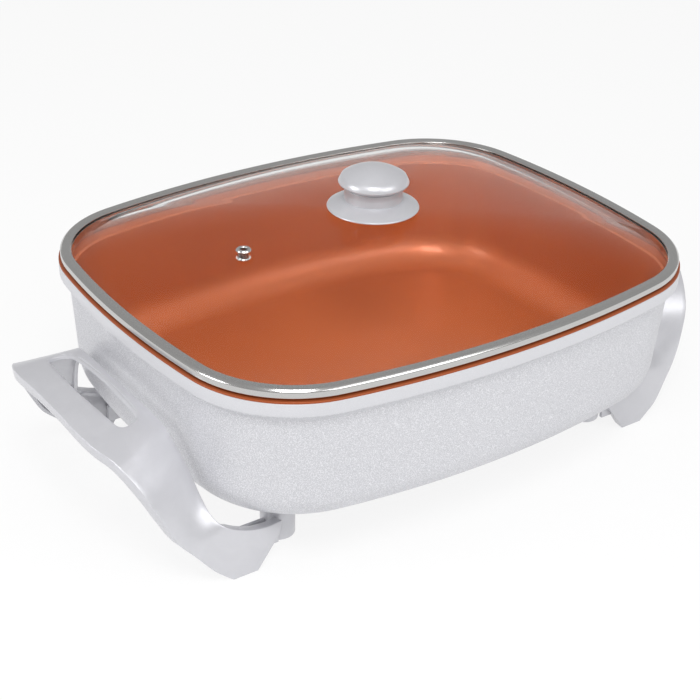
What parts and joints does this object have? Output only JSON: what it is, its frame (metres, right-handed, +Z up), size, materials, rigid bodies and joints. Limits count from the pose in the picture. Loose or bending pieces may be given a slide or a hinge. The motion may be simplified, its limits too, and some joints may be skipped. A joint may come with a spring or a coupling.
{
  "type": "electric skillet",
  "caption": "Rounded rectangular electric frying pan with a domed glass lid, wide loop handles whose legs are its feet, and a plug-in heat control with a probe",
  "frame": {"origin": "on the floor under the middle of the pan", "axes": "+X along the long side towards the heat control, -Y front, +Z up"},
  "size_m": [0.5211, 0.3428, 0.2156],
  "materials": {
    "pan_casting": "silver pebbled coat outside, copper coloured non-stick coat inside",
    "silver_plastic": "satin silver painted phenolic",
    "lid_glass": "clear tempered glass",
    "band_steel": "polished stainless strip",
    "vent_steel": "rolled stainless eyelet",
    "gasket_rubber": "black silicone",
    "screw_steel": "zinc plated",
    "element_steel": "heat tinted sheath",
    "pin_nickel": "nickel plated",
    "insulator_ceramic": "white steatite",
    "guard_steel": "pressed sheet",
    "control_plastic": "black moulded",
    "dial_plastic": "black moulded with pale numbers",
    "probe_steel": "ground stainless",
    "socket_brass": "plain",
    "lamp_glass": "neon lamp",
    "lens_red": "red lens",
    "gland_rubber": "black moulded"
  },
  "bodies": {
    "root": {"pan": "pan_casting", "heating_element": "element_steel", "terminal_pins": "pin_nickel", "terminal_insulators": "insulator_ceramic", "terminal_guard": "guard_steel", "guard_screws": "screw_steel", "left_handle": "silver_plastic", "right_handle": "silver_plastic", "left_handle_screws": "screw_steel", "left_handle_washers": "screw_steel", "right_handle_screws": "screw_steel", "right_handle_washers": "screw_steel"},
    "lid": {"lid_glass": "lid_glass", "lid_band": "band_steel", "vent_eyelet": "vent_steel", "knob_gasket": "gasket_rubber", "knob_skirt": "silver_plastic", "knob_cap": "silver_plastic", "knob_washer": "screw_steel", "knob_screw": "screw_steel"},
    "heat_control": {"control_upper_case": "control_plastic", "control_lower_case": "control_plastic", "probe_rod": "probe_steel", "contact_sockets": "socket_brass", "thermostat_frame": "guard_steel", "bimetal_blade": "socket_brass", "neon_lamp": "lamp_glass", "indicator_lens": "lens_red", "control_case_screws": "screw_steel", "cord_gland": "gland_rubber"},
    "dial": {"heat_dial": "dial_plastic", "dial_spindle": "probe_steel"}
  },
  "joints": [
    {"name": "lid_lift", "type": "slide", "parent": "root", "child": "lid", "axis": [0, 0, 1], "range_m": [0, 0.15]},
    {"name": "control_plug", "type": "slide", "parent": "root", "child": "heat_control", "axis": [1, 0, 0], "range_m": [0, 0.11]},
    {"name": "dial_turn", "type": "hinge", "parent": "heat_control", "child": "dial", "pos_m": [0.231, 0, 0.05], "axis": [0, 0, 1], "range_deg": [-270, 0]}
  ]
}
